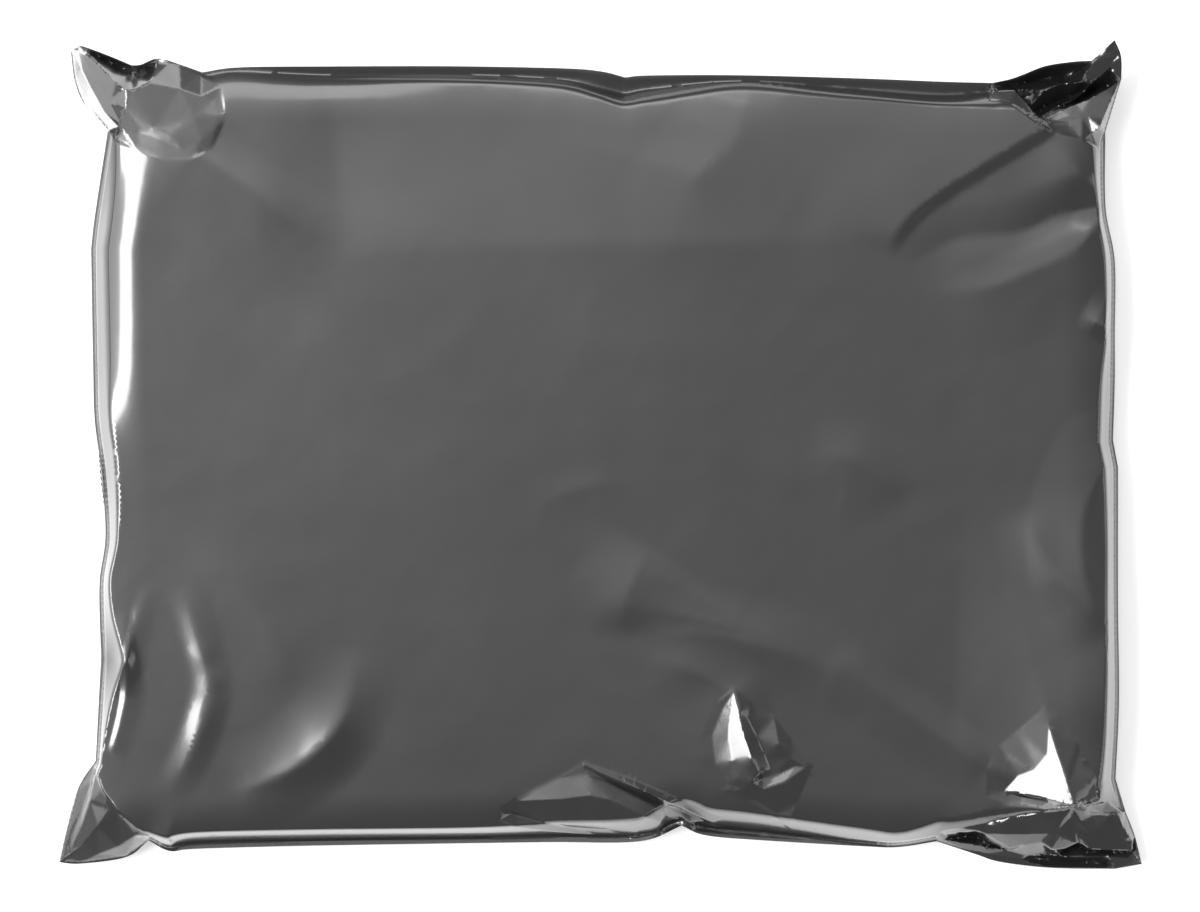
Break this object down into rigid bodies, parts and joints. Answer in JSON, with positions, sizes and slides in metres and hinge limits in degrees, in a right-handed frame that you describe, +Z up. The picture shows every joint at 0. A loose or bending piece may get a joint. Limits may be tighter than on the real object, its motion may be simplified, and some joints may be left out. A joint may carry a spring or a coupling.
{
  "type": "poly mailer bag",
  "caption": "Filled plastic film mailing bag, sealed and lying flat, with crumpled corner ears and creased top film over soft contents.",
  "frame": {"origin": "on the table under the middle of the bag's outline, ear tip to ear tip both ways", "axes": "+X along the long side towards the flap end, +Y across the bag towards the seam at the picture's top, +Z up out of the top film"},
  "size_m": [0.4, 0.305, 0.0293],
  "materials": {
    "GREY_FILM": "glossy dark grey polythene film, creased"
  },
  "bodies": {
    "root": {"mailer_bag": "GREY_FILM"}
  },
  "joints": []
}
